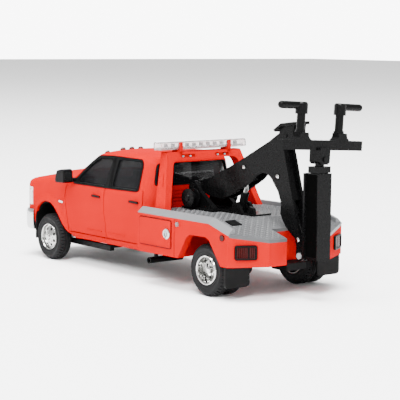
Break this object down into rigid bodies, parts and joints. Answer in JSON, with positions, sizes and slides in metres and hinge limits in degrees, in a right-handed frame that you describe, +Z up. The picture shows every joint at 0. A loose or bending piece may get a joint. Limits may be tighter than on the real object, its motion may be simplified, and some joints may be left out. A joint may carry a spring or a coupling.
{
  "type": "toy tow truck",
  "caption": "Die-cast toy tow truck: red crew cab pickup with a grey-decked wrecker body, black boom, folding wheel-lift stinger, headache rack and light bar",
  "frame": {"origin": "centre of the bounding box in plan, on the floor under the tyres", "axes": "+X forward towards the front bumper, +Y to the truck's left, +Z up"},
  "size_m": [0.1052, 0.04, 0.0471],
  "materials": {
    "red_paint": "glossy die-cast enamel",
    "black_satin": "satin black die-cast paint",
    "chassis_black": "moulded black base, fine texture",
    "black_trim": "moulded black trim",
    "black_interior": "moulded black interior",
    "smoked_glazing": "tinted clear plastic",
    "clear_lens": "clear plastic",
    "white_lens": "white lamp paint",
    "amber_lens": "amber plastic",
    "red_lens": "dark red lamp plastic",
    "deck_grey": "grey tread plate paint",
    "rail_grey": "light grey paint",
    "bright_chrome": "bright plated plastic",
    "bumper_silver": "silver paint",
    "rivet_steel": "plain steel",
    "tyre_rubber": "matte black tyre"
  },
  "bodies": {
    "truck": {"cab_body": "red_paint", "cab_glazing": "smoked_glazing", "interior_tub": "black_interior", "seats": "black_interior", "dashboard": "black_interior", "steering_wheel": "black_interior", "chassis_frame": "chassis_black", "chassis_rivets": "rivet_steel", "front_bumper": "bumper_silver", "grille": "bright_chrome", "headlamps": "clear_lens", "clearance_lights": "amber_lens", "mirror_left": "black_trim", "mirror_right": "black_trim", "door_handles": "black_trim", "side_bars": "black_trim", "exhaust_pipe": "black_trim", "wrecker_body": "red_paint", "deck_plate": "deck_grey", "deck_rails": "rail_grey", "deck_pads": "black_trim", "toolbox_doors": "red_paint", "toolbox_latches": "bright_chrome", "front_markers": "clear_lens", "rear_markers": "red_lens", "tail_lamp_frames": "black_trim", "tail_lamp_lenses": "red_lens", "mud_flaps": "black_trim", "headache_rack": "red_paint", "work_lamps": "white_lens", "light_bar_lens": "clear_lens", "light_bar_mounts": "red_paint", "boom_mount": "black_satin", "winch_drums": "black_satin", "cylinder_bracket": "black_satin"},
    "boom": {"boom_frame": "black_satin", "boom_pins": "bright_chrome", "boom_pivot_pin": "black_satin", "head_cover": "black_satin", "head_sheave": "black_satin", "fold_cylinder": "black_satin", "stinger_pin": "bright_chrome"},
    "lift_barrel_body": {"lift_barrel": "black_satin"},
    "lift_rod_body": {"lift_rod": "bright_chrome"},
    "stinger": {"stinger_tube": "black_satin"},
    "extension": {"extension_bar": "black_satin"},
    "crossbar_body": {"crossbar": "black_satin", "swivel_pin": "black_satin"},
    "l_arm_left_body": {"l_arm_left": "black_satin"},
    "l_arm_right_body": {"l_arm_right": "black_satin"},
    "front_wheels": {"front_axle": "rivet_steel", "front_wheel_left": "bright_chrome", "front_wheel_right": "bright_chrome", "front_tyre_left": "tyre_rubber", "front_tyre_right": "tyre_rubber"},
    "rear_wheels": {"rear_axle": "rivet_steel", "rear_wheel_left": "bright_chrome", "rear_wheel_right": "bright_chrome", "rear_tyres_left": "tyre_rubber", "rear_tyres_right": "tyre_rubber"}
  },
  "joints": [
    {"name": "front_axle_roll", "type": "hinge", "parent": "truck", "child": "front_wheels", "pos_m": [0.0373, 0, 0.0063], "axis": [0, 1, 0], "continuous": true},
    {"name": "rear_axle_roll", "type": "hinge", "parent": "truck", "child": "rear_wheels", "pos_m": [-0.0311, 0, 0.0063], "axis": [0, 1, 0], "continuous": true},
    {"name": "boom_lift", "type": "hinge", "parent": "truck", "child": "boom", "pos_m": [-0.0099, 0, 0.0236], "axis": [0, 1, 0], "range_deg": [-2, 15]},
    {"name": "lift_barrel_tilt", "type": "hinge", "parent": "truck", "child": "lift_barrel_body", "pos_m": [-0.0239, 0, 0.0194], "axis": [0, 1, 0], "range_deg": [-3, 14]},
    {"name": "lift_rod_slide", "type": "slide", "parent": "lift_barrel_body", "child": "lift_rod_body", "axis": [-0.2434, 0, 0.9699], "range_m": [-0.0008, 0.0042]},
    {"name": "stinger_fold", "type": "hinge", "parent": "boom", "child": "stinger", "pos_m": [-0.0464, 0, 0.0102], "axis": [0, -1, 0], "range_deg": [0, 90]},
    {"name": "stinger_extend", "type": "slide", "parent": "stinger", "child": "extension", "axis": [0, 0, 1], "range_m": [0, 0.008]},
    {"name": "crossbar_swivel", "type": "hinge", "parent": "extension", "child": "crossbar_body", "pos_m": [-0.0505, 0, 0.0333], "axis": [1, 0, 0], "range_deg": [-15, 9]},
    {"name": "l_arm_left_swivel", "type": "hinge", "parent": "crossbar_body", "child": "l_arm_left_body", "pos_m": [-0.05, 0.00564, 0.04483], "axis": [0, -0.0558, 0.9984], "range_deg": [0, 90]},
    {"name": "l_arm_right_swivel", "type": "hinge", "parent": "crossbar_body", "child": "l_arm_right_body", "pos_m": [-0.05, -0.00688, 0.04413], "axis": [0, -0.0558, 0.9984], "range_deg": [-90, 0]}
  ],
  "couplings": [
    {"joint": "lift_barrel_tilt", "follows": "boom_lift", "ratio": 0.8347},
    {"joint": "lift_rod_slide", "follows": "boom_lift", "m_per_rad": 0.014517}
  ]
}
